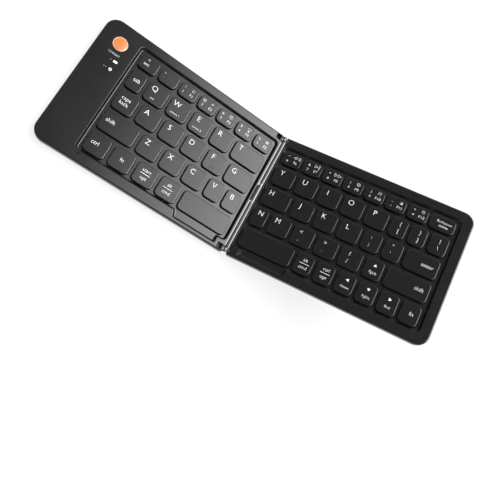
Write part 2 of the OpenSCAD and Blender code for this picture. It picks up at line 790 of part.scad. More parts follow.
// Lower shell of a half: rounded tub with screw posts, ribs and pockets for the feet
module base_body(side) {
    steps = [90, 72, 54, 36, 18, 0];
    difference() {
        union() {
            difference() {
                loft(concat([for (a = steps) let (i = base_round * (1 - cos(a))) half_outline(i, i)],
                        [half_outline(0, 0)]),
                    concat([for (a = steps) base_round - half_t - base_round * sin(a)], [base_top]));
                slab(cavity_outline(), floor_z, base_top + cut);
            }
            for (p = outer_screw_places)
                disc(p.x, p.y, post_r, floor_z - bite, leaf_top - sheet_gap);
            for (p = hinge_screw_places)
                disc(p.x, p.y, post_r, floor_z - bite, leaf_bottom - sheet_gap);
            // Ribs that stop the support plate from sliding outwards
            for (s = [-1, 1]) {
                u = sheet_outer(side) + rib_gap;
                y = s * tray_far * rib_share;
                block(u, y - rib_len / 2, floor_z - bite, u + rib_t, y + rib_len / 2, floor_z + rib_h);
            }
        }
        for (p = concat(outer_screw_places, hinge_screw_places)) {
            disc(p.x, p.y, shank_r + 2 * screw_clearance, -half_t - cut, 0);
            disc(p.x, p.y, head_r + 2 * screw_clearance, -half_t - cut, head_z + head_h);
        }
        for (p = foot_places)
            pad(p.x, p.y, foot_len + 2 * foot_clearance, foot_w + 2 * foot_clearance,
                -half_t - cut, -half_t + foot_sink);
        // Way through the inner wall for the ribbon cable
        block(0, -notch_w / 2, leaf_bottom, inner_side + wall_t + cut, notch_w / 2, base_top + cut);
        both_ends()
            base_hinge_pocket(side);
    }
}

module base_hinge_pocket(side) {
    if (side == LEFT)
        block(0, pocket_y, leaf_bottom - sheet_gap, pocket_len, pocket_far, base_top + cut);
    else
        block(0, right_pocket_near, leaf_bottom - sheet_gap,
            right_pocket_len, right_pocket_far, base_top + cut);
}

module left_base_shell() {
    color(base_dark)
        place(LEFT)
            difference() {
                union() {
                    base_body(LEFT);
                    for (p = board_posts)
                        disc(p.x, p.y, board_post_r, floor_z - bite, board_z);
                }
                socket_mouth(mouth_margin);
            }
}

module right_base_shell() {
    color(base_dark)
        place(RIGHT)
            base_body(RIGHT);
}

// Stamped plate under the sheets, with a slot for the hooks of each key
module support_plate(side, keys) {
    difference() {
        slab(sheet_outline(side), plate_z, plate_z + plate_t);
        for (k = keys)
            slot(k, side);
    }
}

module slot(k, side) {
    u = side * (k[1] + k[3] / 2);
    y = k[2] + k[4] * slot_share;
    translate([u, y, plate_z + plate_t / 2])
        cube([slot_len, slot_w, plate_t + 2 * cut], center = true);
}

function sheet_outline(side) = box_outline(sheet_inner, sheet_near, sheet_outer(side), sheet_far, sheet_r, 3);

module contact_sheet(side) {
    slab(sheet_outline(side), contact_z, contact_z + contact_t);
}

// Rubber sheet with a dome under each key, drawn pressed down
module dome_sheet(side, keys) {
    difference() {
        slab(sheet_outline(side), dome_sheet_z, dome_base);
        block(0, -notch_w / 2, dome_sheet_z - cut,
            ribbon_drop_u + notch_margin, notch_w / 2, dome_base + cut);
    }
    for (k = keys)
        translate([side * (k[1] + k[3] / 2), k[2] + k[4] / 2, dome_base])
            cylinder(r1 = dome_foot_r, r2 = dome_top_r, h = dome_h);
}

module left_support_plate() {
    color(steel)
        place(LEFT)
            support_plate(LEFT, left_keys);
}

module right_support_plate() {
    color("#b9bbbe")
        place(RIGHT)
            support_plate(RIGHT, right_keys);
}

module left_contact_sheet() {
    color("#8fa08a")
        place(LEFT)
            contact_sheet(LEFT);
}

// The right sheet ends in a tail that reaches the spine
module right_contact_sheet() {
    color("#8fa08a")
        place(RIGHT) {
            contact_sheet(RIGHT);
            block(spine_r + tail_gap, -ribbon_w / 2, ribbon_z,
                ribbon_drop_u, ribbon_w / 2, ribbon_z + ribbon_t);
            block(ribbon_drop_u - ribbon_t, -ribbon_w / 2, contact_z,
                ribbon_drop_u, ribbon_w / 2, ribbon_z + ribbon_t);
        }
}

module left_dome_sheet() {
    color("#a7adb3")
        place(LEFT)
            dome_sheet(LEFT, left_keys);
}

module right_dome_sheet() {
    color("#a7adb3")
        place(RIGHT)
            dome_sheet(RIGHT, right_keys);
}

// Flat pouch cell with its folded seam at the end towards the circuit board
module battery_cell() {
    color("#9aa3ad")
        place(LEFT) {
            u = board_inner;
            end = battery_near + battery_len;
            slab(box_outline(u, battery_near, u + battery_w, end, cell_r, 3),
                battery_z, battery_z + battery_t);
            block(u + seam_inset, end - bite, battery_z + seam_sink,
                u + battery_w - seam_inset, end + seam_reach, battery_z + seam_sink + seam_h);
        }
}

module board_plate() {
    slab(rounded([[board_inner, board_near, board_r], [board_inner + board_w, board_near, board_r],
        [board_inner + board_w, board_near + board_len, board_outer_r],
        [board_inner, board_near + board_len, board_r]], 4), board_z, board_top);
}

// A box-shaped component on the board, placed by its centre
module board_box(u, y, len, w, h) {
    block(u - len / 2, y - w / 2, board_top, u + len / 2, y + w / 2, board_top + h);
}

// Board with the button's switch, the lights, the controller and the ribbon's connector
module main_circuit_board() {
    color("#2f6b45")
        place(LEFT)
            difference() {
                union() {
                    board_plate();
                    board_box(button_u, button_y, switch_w, switch_w, switch_h - plunger_h);
                    disc(button_u, button_y, plunger_r, board_top, board_top + switch_h);
                    for (p = light_places)
                        board_box(p.x, p.y, light_len, light_w, light_h);
                    board_box(board_inner + chip_in + chip_w / 2, socket_y + chip_offset,
                        chip_w, chip_w, chip_h);
                    board_box(board_inner + connector_in + connector_w / 2, button_y + connector_offset,
                        connector_w, connector_len, connector_h);
                }
                w = socket_w + 2 * notch_gap;
                block(half_w - wall_t - socket_len + notch_depth, socket_y - w / 2, board_z - cut,
                    half_w, socket_y + w / 2, board_top + cut);
            }
}

// Charging socket: a drawn metal shell with a tongue in the middle
module usb_c_socket() {
    mouth = half_w - mouth_sink;
    color(steel)
        place(LEFT)
            translate([mouth - socket_len, socket_y, socket_z])
                rotate([0, 90, 0]) {
                    difference() {
                        linear_extrude(socket_len)
                            stadium(socket_w, socket_h);
                        translate([0, 0, socket_back])
                            linear_extrude(socket_len)
                                stadium(socket_w - 2 * socket_wall, socket_h - 2 * socket_wall);
                    }
                    translate([-tongue_t / 2, tongue_margin - socket_w / 2, tongue_root])
                        cube([tongue_t, socket_w - 2 * tongue_margin,
                            socket_len - tongue_root - tongue_sink]);
                }
}

// Domed button, turned in one piece with its flange and stem
module power_button() {
    flange_top = -deck_t - button_clearance;
    color(salmon)
        place(LEFT)
            translate([button_u, button_y, 0])
                rotate_extrude($fn = 64)
                    polygon([[0, stem_bottom], [stem_r, stem_bottom], [stem_r, flange_top - flange_t],
                        [button_r + flange_w, flange_top - flange_t], [button_r + flange_w, flange_top],
                        [button_r, flange_top], [button_r, -0.25], [button_r - 0.35, 0.02],
                        [button_r * 0.75, button_rise * 0.6], [button_r * 0.4, button_rise * 0.92],
                        [0, button_rise]]);
}

module indicator_lenses() {
    color("#dfe3e6")
        place(LEFT)
            for (p = light_places)
                disc(p.x, p.y, lens_r, board_top + light_h + sheet_gap, -sheet_gap);
}

module feet() {
    for (p = foot_places)
        pad(p.x, p.y, foot_len, foot_w, -half_t - foot_h, -half_t + foot_sink);
}

module left_feet() {
    color(rubber)
        place(LEFT)
            feet();
}

module right_feet() {
    color(rubber)
        place(RIGHT)
            feet();
}

module magnets() {
    for (s = [-1, 1])
        block(magnet_u - magnet_w / 2, s * magnet_y - magnet_len / 2, magnet_z,
            magnet_u + magnet_w / 2, s * magnet_y + magnet_len / 2, magnet_z + magnet_t);
}

module left_magnets() {
    color(steel)
        place(LEFT)
            magnets();
}

module right_magnets() {
    color(steel)
        place(RIGHT)
            magnets();
}

// Case screws, one behind each foot, of which the inner two also clamp the hinge leaves
module screws() {
    for (p = concat(outer_screw_places, hinge_screw_places)) {
        disc(p.x, p.y, head_r, head_z, head_z + head_h);
        disc(p.x, p.y, shank_r, head_z, screw_tip(p));
    }
}

module left_screws() {
    color("#77797d")
        place(LEFT)
            screws();
}

module right_screws() {
    color("#77797d")
        place(RIGHT)
            screws();
}

// Profile of an ear or an arm near the hinge axis, in distance from the axis and height
function knuckle_top(r) = [[0, pivot_rise + r * 0.98], [r * 0.78, pivot_rise + r * 0.6],
    [r + 0.1, pivot_rise - 0.3]];

module leaf(y0) {
    difference() {
        block(leaf_start, leaf_y, leaf_bottom, leaf_len, y0, leaf_top);
        disc(inner_foot_u, foot_y, shank_r + 2 * screw_clearance, leaf_bottom - cut, leaf_top + cut);
    }
}

// One fixed ear: a knuckle with a leg down to the leaf
module ear(y0, y1) {
    difference() {
        union() {
            axis_rod(knuckle_r, y0, y1);
            plate_profile(concat(knuckle_top(knuckle_r), [[hinge_gap + web_gap + web_w, web_top],
                [hinge_gap + riser_top, leaf_top], [pocket_len - pocket_gap, leaf_top],
                [pocket_len - pocket_gap, leaf_bottom], [hinge_gap + riser_foot, leaf_bottom],
                [0, pivot_rise - knuckle_r * 0.98]]), y0, y1);
        }
        axis_rod(pin_r + pin_seat, y0 - cut, y1 + cut);
    }
}

// Clevis at each end of the left half: two ears, a web between them and a leaf
module left_hinge_brackets() {
    color(steel)
        place(LEFT)
            both_ends() {
                ear(ear_y, ear_y + ear_t);
                ear(outer_ear_y, outer_ear_y + outer_ear_t);
                block(hinge_gap + web_gap, ear_y, web_top - bar_t,
                    hinge_gap + web_gap + web_w, outer_ear_y + outer_ear_t, web_top);
                block(hinge_gap + riser_start, ear_y, leaf_bottom,
                    pocket_len - pocket_gap, outer_ear_y + outer_ear_t, leaf_top);
                leaf(arm_y + arm_t);
            }
}

// Arm at each end of the right half: a knuckle, a bar level with the deck and a joggled leaf
module right_hinge_brackets() {
    bar_end = right_pocket_len - pocket_gap;
    color(steel)
        place(RIGHT)
            both_ends() {
                difference() {
                    union() {
                        axis_rod(knuckle_r, arm_y, arm_y + arm_t);
                        plate_profile(concat(knuckle_top(knuckle_r), [[bar_end, web_top],
                            [bar_end, leaf_bottom], [bar_end - bar_t, leaf_bottom],
                            [bar_end - bar_t, web_top - bar_t],
                            [0, pivot_rise - knuckle_r * 0.98]]), arm_y, arm_y + arm_t);
                    }
                    axis_rod(pin_r + pin_clearance, arm_y - cut, arm_y + arm_t + cut);
                }
                leaf(arm_y + arm_t);
            }
}

// Headless pins, held in the ears and in the ends of the spine rod
module hinge_pins() {
    color("#d9dadd")
        on_left()
            both_ends()
                axis_rod(pin_r, spine_end - spine_seat + 0.3, outer_ear_y + outer_ear_t);
}

// Rod between the two ends of the hinge, with a waist where the ribbon passes
module spine_rod() {
    color("#55575b")
        on_left()
            difference() {
                union() {
                    axis_rod(waist_r, -waist_len / 2 - 0.1, waist_len / 2 + 0.1);
                    both_ends()
                        axis_rod(spine_r, waist_len / 2, spine_end);
                }
                both_ends()
                    axis_rod(pin_r + pin_seat, spine_end - spine_seat, spine_end + cut);
            }
}

// Flat cable from the left contact sheet, which turns under the waist of the spine
module link_ribbon() {
    w = ribbon_w / 2;
    r = waist_r + ribbon_gap;
    color("#c98a3c")
        place(LEFT) {
            intersection() {
                difference() {
                    axis_rod(r + ribbon_t, -w, w);
                    axis_rod(r, -w - cut, w + cut);
                }
                block(-spine_r - cut, -w - cut, pivot_rise - spine_r, spine_r + cut, w + cut, pivot_rise);
            }
            block(r, -w, ribbon_z, r + ribbon_t, w, pivot_rise);
            block(r, -w, ribbon_z, ribbon_drop_u, w, ribbon_z + ribbon_t);
            block(ribbon_drop_u - ribbon_t, -w, contact_z + contact_t, ribbon_drop_u, w, ribbon_z + ribbon_t);
        }
}

// Hollow keycap with drawn-in sides, a bevelled top and a post
module keycap(w, d) {
    i = key_draft;
    b = key_draft + key_bevel;
    difference() {
        loft([box_outline(0, 0, w, d, key_r, 4), box_outline(i, i, w - i, d - i, key_r - i, 4),
            box_outline(b, b, w - b, d - b, key_r - b, 4)], [key_bottom, key_top - key_bevel_h, key_top]);
        slab(box_outline(key_wall, key_wall, w - key_wall, d - key_wall, key_r - key_wall, 3),
            key_bottom - cut, key_top - key_wall);
    }
    disc(w / 2, d / 2, key_post_r, key_bottom, key_top - key_wall + 0.1);
}

// Short bar that the index finger finds on the two homing keys
module homing_bar(w) {
    block((w - homing_len) / 2, homing_y, key_top - 0.1,
        (w + homing_len) / 2, homing_y + homing_w, key_top + homing_h);
}

// All keys that belong to one node
module keys_of(name) {
    color(key_black)
        for (side = [LEFT, RIGHT])
            place_keys(side)
                for (k = side == LEFT ? left_keys : right_keys)
                    if (k[0] == name)
                        translate([k[1], k[2], 0]) {
                            keycap(k[3], k[4]);
                            if (name == "key_f" || name == "key_j")
                                homing_bar(k[3]);
                        }
}

left_base_shell();
left_deck();
left_support_plate();
left_contact_sheet();
left_dome_sheet();
battery_cell();
main_circuit_board();
usb_c_socket();
power_button();
indicator_lenses();
left_feet();
left_magnets();
left_screws();
right_base_shell();
right_deck();
right_support_plate();
right_contact_sheet();
right_dome_sheet();
right_feet();
right_magnets();
right_screws();
left_hinge_brackets();
right_hinge_brackets();
hinge_pins();
spine_rod();
link_ribbon();
for (i = [FIRST_KEY:len(NODES) - 1])
    keys_of(NODES[i]);
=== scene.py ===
import json
import math

import bmesh
import bpy
from mathutils import Euler, Matrix, Vector

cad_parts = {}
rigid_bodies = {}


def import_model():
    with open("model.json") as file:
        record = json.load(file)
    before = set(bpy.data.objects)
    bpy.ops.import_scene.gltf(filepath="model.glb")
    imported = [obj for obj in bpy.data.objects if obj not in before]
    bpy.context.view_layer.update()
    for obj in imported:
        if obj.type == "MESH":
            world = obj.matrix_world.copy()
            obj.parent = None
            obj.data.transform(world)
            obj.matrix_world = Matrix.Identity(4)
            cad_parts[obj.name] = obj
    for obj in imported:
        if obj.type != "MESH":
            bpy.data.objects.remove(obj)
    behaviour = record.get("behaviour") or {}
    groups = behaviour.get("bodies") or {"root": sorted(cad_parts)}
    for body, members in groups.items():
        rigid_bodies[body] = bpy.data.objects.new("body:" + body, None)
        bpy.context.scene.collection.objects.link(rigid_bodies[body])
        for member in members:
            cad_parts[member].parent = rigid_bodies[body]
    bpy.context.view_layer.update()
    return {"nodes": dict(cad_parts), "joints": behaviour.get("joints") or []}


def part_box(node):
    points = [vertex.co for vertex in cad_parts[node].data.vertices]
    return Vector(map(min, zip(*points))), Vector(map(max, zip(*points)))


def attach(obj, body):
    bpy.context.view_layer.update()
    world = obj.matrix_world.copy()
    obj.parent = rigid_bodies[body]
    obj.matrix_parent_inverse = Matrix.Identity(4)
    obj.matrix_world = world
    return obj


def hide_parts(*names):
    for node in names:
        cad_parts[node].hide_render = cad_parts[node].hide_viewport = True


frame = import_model()

# Photographer's view
# The product photograph looks steeply down from the near left, so that the flat left half shows its blank
# panel and the raised right half turns its keys towards the lens.

# Sizes are in millimetres, and metres where they are multiplied by this
MM = 0.001
camera_place = Vector((-67.76, -118.20, 308.96)) * MM
camera_turn = Euler([math.radians(angle) for angle in (6.499, -20.372, 29.099)])
camera_data = bpy.data.cameras.new("camera")
camera_data.lens = 36.29
camera_data.shift_x = 0.0165
camera_data.shift_y = -0.0226
camera_data.clip_start = 10 * MM
camera = bpy.data.objects.new("camera", camera_data)
camera.matrix_world = Matrix.Translation(camera_place) @ camera_turn.to_matrix().to_4x4()
bpy.context.scene.collection.objects.link(camera)
bpy.context.scene.camera = camera
bpy.context.scene.view_settings.view_transform = "Standard"

# Studio
# White paper under a large softbox that is part of the sky: it starts just left of overhead, grows brighter
# to the right and leans to the far side, so that the left half brightens towards the hinge, the raised half
# stays dark, and bevels that lean to the right catch its brightest part as thin lines.
paper_width = 4000 * MM
paper_glow = 0.82
fibre_size = 2 * MM
dim_sky = 0.18

# Edges and fades of the softbox are shares of its height above the paper. Its light grows from the left
# edge to the peak, and nothing of it shows below its rise
softbox_brightness = 13.4
softbox_left = -0.1
softbox_peak = 0.66
softbox_right = 0.9
softbox_right_fade = 0.12
softbox_near = -0.05
softbox_far = 0.85
softbox_fade = 0.15
softbox_rise = (0.45, 0.6)

# Below the horizon's top the sky goes from dim on the near left to bright on the far right
horizon_top = (0.45, 0.75)
bright_side = (0.5, 0.8, 0.0)
bright_reach = (-0.3, 0.4)
horizon_light = (0.25, 1.2)


def linear(hex_colour):
    """Linear RGBA of an sRGB hex colour."""
    parts = [int(hex_colour[i:i + 2], 16) / 255 for i in (1, 3, 5)]
    return [p / 12.92 if p <= 0.04045 else ((p + 0.055) / 1.055) ** 2.4 for p in parts] + [1]


def add_node(tree, kind, sockets=None, links=None, **settings):
    """Adds a shader node with its settings, the values of its sockets and the outputs that feed it."""
    node = tree.nodes.new("ShaderNode" + kind)
    for name, value in settings.items():
        setattr(node, name, value)
    for name, value in (sockets or {}).items():
        node.inputs[name].default_value = value
    for name, source in (links or {}).items():
        tree.links.new(source, node.inputs[name])
    return node


def new_material(name, colour, roughness, **sockets):
    """A material with one Principled shader, its node tree and the place on the piece in metres."""
    material = bpy.data.materials.new(name)
    material.use_nodes = True
    tree = material.node_tree
    shader = tree.nodes["Principled BSDF"]
    shader.inputs["Base Color"].default_value = linear(colour)
    shader.inputs["Roughness"].default_value = roughness
    for socket, value in sockets.items():
        shader.inputs[socket.replace("_", " ")].default_value = value
    place = add_node(tree, "TexCoord").outputs["Object"]
    return material, tree, shader, place


world = bpy.data.worlds.new("studio_sky")
bpy.context.scene.world = world
world.use_nodes = True
sky = world.node_tree
direction = add_node(sky, "TexCoord").outputs["Generated"]
compass = add_node(sky, "SeparateXYZ", links={"Vector": direction}).outputs
slants = [add_node(sky, "Math", links={0: compass[axis], 1: compass["Z"]}, operation="DIVIDE")
          for axis in ("X", "Y")]
rightward, farward = [slant.outputs["Value"] for slant in slants]
growth = add_node(sky, "MapRange", {"From Min": softbox_left, "From Max": softbox_peak, "To Min": 0,
                                    "To Max": softbox_brightness}, {"Value": rightward})
softbox = growth.outputs["Result"]
for source, dark_end, bright_end in ((compass["Z"], *softbox_rise),
                                     (rightward, softbox_right + softbox_right_fade, softbox_right),
                                     (farward, softbox_far + softbox_fade, softbox_far),
                                     (farward, softbox_near - softbox_fade, softbox_near)):
    fade = add_node(sky, "MapRange", {"From Min": dark_end, "From Max": bright_end}, {"Value": source},
                    interpolation_type="SMOOTHSTEP")
    share = add_node(sky, "Math", links={0: softbox, 1: fade.outputs["Result"]}, operation="MULTIPLY")
    softbox = share.outputs["Value"]
sideways = add_node(sky, "VectorMath", {1: bright_side}, {0: direction}, operation="DOT_PRODUCT")
horizon = add_node(sky, "MapRange", {"From Min": bright_reach[0], "From Max": bright_reach[1],
                                     "To Min": horizon_light[0], "To Max": horizon_light[1]},
                   {"Value": sideways.outputs["Value"]}, interpolation_type="SMOOTHSTEP")
height = add_node(sky, "MapRange", {"From Min": horizon_top[0], "From Max": horizon_top[1]},
                  {"Value": compass["Z"]}, interpolation_type="SMOOTHSTEP")
open_sky = add_node(sky, "Mix", {"B": dim_sky}, {"Factor": height.outputs["Result"],
                                                 "A": horizon.outputs["Result"]})
light = add_node(sky, "Math", links={0: open_sky.outputs["Result"], 1: softbox}, operation="ADD")
# The lens sees plain white behind the paper
seen = add_node(sky, "LightPath").outputs["Is Camera Ray"]
shown = add_node(sky, "Mix", {"B": 1.0}, {"Factor": seen, "A": light.outputs["Value"]})
sky.nodes["Background"].inputs["Color"].default_value = linear("#ffffff")
sky.links.new(shown.outputs["Result"], sky.nodes["Background"].inputs["Strength"])

paper_material, tree, shader, place = new_material("white_paper", "#f7f7f7", 0.9)
fibres = add_node(tree, "TexNoise", {"Scale": 1 / fibre_size, "Detail": 2.0}, {"Vector": place})
bump = add_node(tree, "Bump", {"Strength": 0.02, "Distance": 0.01 * MM}, {"Height": fibres.outputs["Fac"]})
tree.links.new(bump.outputs["Normal"], shader.inputs["Normal"])
# It glows by a share of white where it is looked at, directly or as a reflection, and keeps its shadow
rays = add_node(tree, "LightPath").outputs
looked_at = add_node(tree, "Math", links={0: rays["Is Camera Ray"], 1: rays["Is Glossy Ray"]},
                     operation="MAXIMUM")
share = add_node(tree, "Math", {1: paper_glow}, {0: looked_at.outputs["Value"]}, operation="MULTIPLY")
glow = add_node(tree, "Emission", {"Color": linear("#ffffff"), "Strength": 1.0})
paper_mix = add_node(tree, "MixShader", links={"Fac": share.outputs["Value"], 1: shader.outputs["BSDF"],
                                               2: glow.outputs["Emission"]})
tree.links.new(paper_mix.outputs["Shader"], tree.nodes["Material Output"].inputs["Surface"])
sheet = bmesh.new()
bmesh.ops.create_grid(sheet, x_segments=1, y_segments=1, size=paper_width / 2)
paper_mesh = bpy.data.meshes.new("paper")
sheet.to_mesh(paper_mesh)
sheet.free()
paper_mesh.materials.append(paper_material)
paper = bpy.data.objects.new("paper", paper_mesh)
bpy.context.scene.collection.objects.link(paper)

# Deck shells
# The upper shells are injection-moulded black ABS. Their moulds are spark-eroded, which leaves a fine
# grain with a satin shine, and fingers polish the plastic a little unevenly.
black_abs = "#18191a"

# The pits of the grain keep this share of the light. Fingers change the roughness by up to the second
# value, in patches of the third
pit_shade = 0.88
handling = 0.02
handling_size = 14 * MM

edge_rounding = 0.12 * MM
merge_distance = 0.002
flat_within = math.radians(0.3)
ring_tolerance = 0.003

# Edges that turn by fewer degrees are shaded smooth. The second angle keeps flats that lean by 16 crisp
smooth_angle = 35
facet_angle = 15.5

# The lip and the foot of the tray's wall get flats that lean by about 16 degrees. Each pair is the old and
# the new height of a ring of vertices
tray_rings = ((7.36, 7.352), (5.534, 5.559), (5.631, 5.612))

# Turns from the keyboard opened flat to its rest pose, for the left half and for the raised right half
level = Matrix.Identity(4)
fold = frame["joints"][0]
pivot = Matrix.Translation(Vector(fold["pos_m"]) / MM)
fold_turn = Matrix.Rotation(math.radians(-fold["range_deg"][0]), 4, Vector(fold["axis"]))
raised = pivot @ fold_turn @ pivot.inverted()


def darker(hex_colour, share):
    """Linear RGBA of an sRGB hex colour that keeps a share of its light."""
    return [channel * share for channel in linear(hex_colour)[:3]] + [1]


def moulded_plastic(name, roughness, grain, grain_depth, gloss=1.5):
    """Black moulded ABS with a spark-eroded grain of a given size and depth in metres."""
    material, tree, shader, place = new_material(name, black_abs, roughness, IOR=gloss)
    drift = add_node(tree, "TexNoise", {"Scale": 1 / handling_size, "Detail": 3.0}, {"Vector": place})
    sheen = add_node(tree, "MapRange", {"From Min": 0.3, "From Max": 0.7, "To Min": roughness - handling,
                                        "To Max": roughness + handling}, {"Value": drift.outputs["Fac"]})
    tree.links.new(sheen.outputs["Result"], shader.inputs["Roughness"])
    pits = add_node(tree, "TexNoise", {"Scale": 1 / grain, "Detail": 3.0, "Roughness": 0.6},
                    {"Vector": place})
    shade = add_node(tree, "MapRange", {"From Min": 0.35, "From Max": 0.65, "To Min": 0.0, "To Max": 1.0},
                     {"Value": pits.outputs["Fac"]})
    tint = add_node(tree, "MixRGB", {"Color1": darker(black_abs, pit_shade), "Color2": linear(black_abs)},
                    {"Fac": shade.outputs["Result"]})
    tree.links.new(tint.outputs["Color"], shader.inputs["Base Color"])
    corners = add_node(tree, "Bevel", {"Radius": edge_rounding}, samples=4)
    bump = add_node(tree, "Bump", {"Strength": 0.5, "Distance": grain_depth},
                    {"Height": pits.outputs["Fac"], "Normal": corners.outputs["Normal"]})
    tree.links.new(bump.outputs["Normal"], shader.inputs["Normal"])
    return material


def add_piece(name, form, body, materials, turn=level, smooth_below=smooth_angle):
    """Makes a piece from a form in flat millimetres, puts it in its place and lets it ride on its body."""
    form.transform(Matrix.Scale(MM, 4) @ turn)
    mesh = bpy.data.meshes.new(name)
    form.to_mesh(mesh)
    form.free()
    for material in materials:
        mesh.materials.append(material)
    mesh.shade_smooth()
    mesh.set_sharp_from_angle(angle=math.radians(smooth_below))
    piece = bpy.data.objects.new(name, mesh)
    bpy.context.scene.collection.objects.link(piece)
    piece.modifiers.new("flat_faces", "WEIGHTED_NORMAL").keep_sharp = True
    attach(piece, body)
    return piece


def node_form(node, turn):
    """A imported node's mesh, joined, in the millimetres of the keyboard opened flat."""
    form = bmesh.new()
    form.from_mesh(frame["nodes"][node].data)
    form.transform(turn.inverted() @ Matrix.Scale(1 / MM, 4))
    bmesh.ops.remove_doubles(form, verts=form.verts, dist=merge_distance)
    return form


def add_shell(node, body, material, rings=()):
    """A finished copy of a packed shell with its flat faces joined and its rings moved to new heights."""
    turn = raised if body == "right_half" else level
    form = node_form(node, turn)
    bmesh.ops.dissolve_limit(form, angle_limit=flat_within, verts=form.verts, edges=form.edges)
    for vert in form.verts:
        for old, new in rings:
            if abs(vert.co.z - old) < ring_tolerance:
                vert.co.z = new
    shell = add_piece("finished_" + node, form, body, [material], turn, facet_angle)
    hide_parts(node)


# The grain of about 0.05 mm is drawn at 0.25 mm, because a finer one doesn't show
deck_plastic = moulded_plastic("moulded_abs_deck", 0.18, 0.25 * MM, 0.004 * MM, 1.56)
for side in ("left", "right"):
    add_shell(side + "_deck", side + "_half", deck_plastic, tray_rings)

# Base shells
# The lower shells are the same black ABS with a finer, shallower grain, a little duller than the decks.
# They carry the feet, the screw posts and the battery.

# The grain of about 0.04 mm is drawn at 0.18 mm
base_plastic = moulded_plastic("moulded_abs_base", 0.22, 0.18 * MM, 0.002 * MM)
for side in ("left", "right"):
    add_shell(side + "_base_shell", side + "_half", base_plastic)

# Keycaps
# Low caps of satin black ABS with rounded corners, drafted sides and a rim of two narrow facets round a
# flat top. They are hollow below and carry a stem that presses the rubber dome.
key_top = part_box("key_q")[1].z / MM
key_height = key_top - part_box("key_q")[0].z / MM
key_corner = 2.7
corner_segments = 6
key_draft = 0.1
key_wall = 0.9
brim_rounding = 0.07
stem_radius = 1.6
stem_segments = 20
stem_overlap = 0.1
bar_length = 3.2
bar_width = 0.6
bar_inset = 2.6
bar_height = 0.12
bar_root = 0.1
bar_rounding = 0.1

# Width and slope of the rim's outer and inner facet
rim_facets = ((0.16, math.radians(34)), (0.28, math.radians(16)))

right_nodes = [joint["child"] for joint in frame["joints"] if joint["parent"] == "right_half"]
key_nodes = [node for node in frame["nodes"] if node.startswith("key_") or "_key" in node]


def stand(node):
    """The turn from the keyboard opened flat to its rest pose, for the half that carries a key."""
    return raised if node in right_nodes else level


def key_boxes(node):
    """Left, near, right and far edge of each cap of a node in reading order, in flat millimetres."""
    form = node_form(node, stand(node))
    loose = set(form.verts)
    boxes = []
    while loose:
        island = [loose.pop()]
        for vert in island:
            for edge in vert.link_edges:
                other = edge.other_vert(vert)
                if other in loose:
                    loose.remove(other)
                    island.append(other)
        xs = [vert.co.x for vert in island]
        ys = [vert.co.y for vert in island]
        boxes.append((min(xs), min(ys), max(xs), max(ys)))
    form.free()
    return sorted(boxes, key=lambda box: (-round(box[1]), box[0]))


def add_block(form, low, high):
    """Adds a box to a form."""
    verts = bmesh.ops.create_cube(form, size=1)["verts"]
    low, high = Vector(low), Vector(high)
    bmesh.ops.scale(form, vec=high - low, verts=verts)
    bmesh.ops.translate(form, vec=(low + high) / 2, verts=verts)


def round_uprights(form, shortest, radius, segments):
    """Rounds the upright edges of a form that are longer than the shortest."""
    uprights = [edge for edge in form.edges if abs(edge.verts[0].co.z - edge.verts[1].co.z) > shortest]
    bmesh.ops.bevel(form, geom=uprights, offset=radius, segments=segments, affect="EDGES", profile=0.5,
                    material=-1)


def join_form(whole, part):
    """Moves one form into another."""
    mesh = bpy.data.meshes.new("part")
    part.to_mesh(mesh)
    part.free()
    whole.from_mesh(mesh)
    bpy.data.meshes.remove(mesh)


def add_cap(whole, x0, y0, x1, y1):
    """Adds a keycap with its hollow underside and its stem."""
    cap = bmesh.new()
    drops = [width * math.tan(slope) for width, slope in rim_facets]
    add_block(cap, (x0, y0, key_top - key_height), (x1, y1, key_top - sum(drops)))
    round_uprights(cap, key_height / 2, key_corner, corner_segments)
    roof = max(cap.faces, key=lambda face: face.calc_center_median().z)
    floor = min(cap.faces, key=lambda face: face.calc_center_median().z)
    middle = Vector(((x0 + x1) / 2, (y0 + y1) / 2, 0))
    shrink = (1 - 2 * key_draft / (x1 - x0), 1 - 2 * key_draft / (y1 - y0), 1)
    bmesh.ops.scale(cap, vec=shrink, space=Matrix.Translation(-middle), verts=roof.verts)
    brim = list(roof.edges)
    for (width, slope), drop in zip(rim_facets, drops):
        bmesh.ops.inset_region(cap, faces=[roof], thickness=width, depth=drop)
    bmesh.ops.bevel(cap, geom=brim, offset=brim_rounding, segments=2, affect="EDGES", profile=0.5,
                    material=-1)
    bmesh.ops.inset_region(cap, faces=[floor], thickness=key_wall)
    hollow = bmesh.ops.extrude_discrete_faces(cap, faces=[floor])["faces"][0]
    bmesh.ops.translate(cap, vec=(0, 0, key_height - key_wall), verts=hollow.verts)
    stem_middle = middle + Vector((0, 0, key_top - (key_height + key_wall - stem_overlap) / 2))
    bmesh.ops.create_cone(cap, cap_ends=True, segments=stem_segments, radius1=stem_radius,
                          radius2=stem_radius, depth=key_height - key_wall + stem_overlap,
                          matrix=Matrix.Translation(stem_middle))
    join_form(whole, cap)


def add_homing_bar(whole, x0, y0, x1):
    """Adds the low bar that a finger feels for near a key's near edge."""
    bar = bmesh.new()
    middle = (x0 + x1) / 2
    add_block(bar, (middle - bar_length / 2, y0 + bar_inset, key_top - bar_root),
              (middle + bar_length / 2, y0 + bar_inset + bar_width, key_top + bar_height))
    upper = [edge for edge in bar.edges if edge.verts[0].co.z + edge.verts[1].co.z > 2 * key_top]
    bmesh.ops.bevel(bar, geom=upper, offset=bar_rounding, segments=2, affect="EDGES", profile=0.5,
                    material=-1)
    join_form(whole, bar)


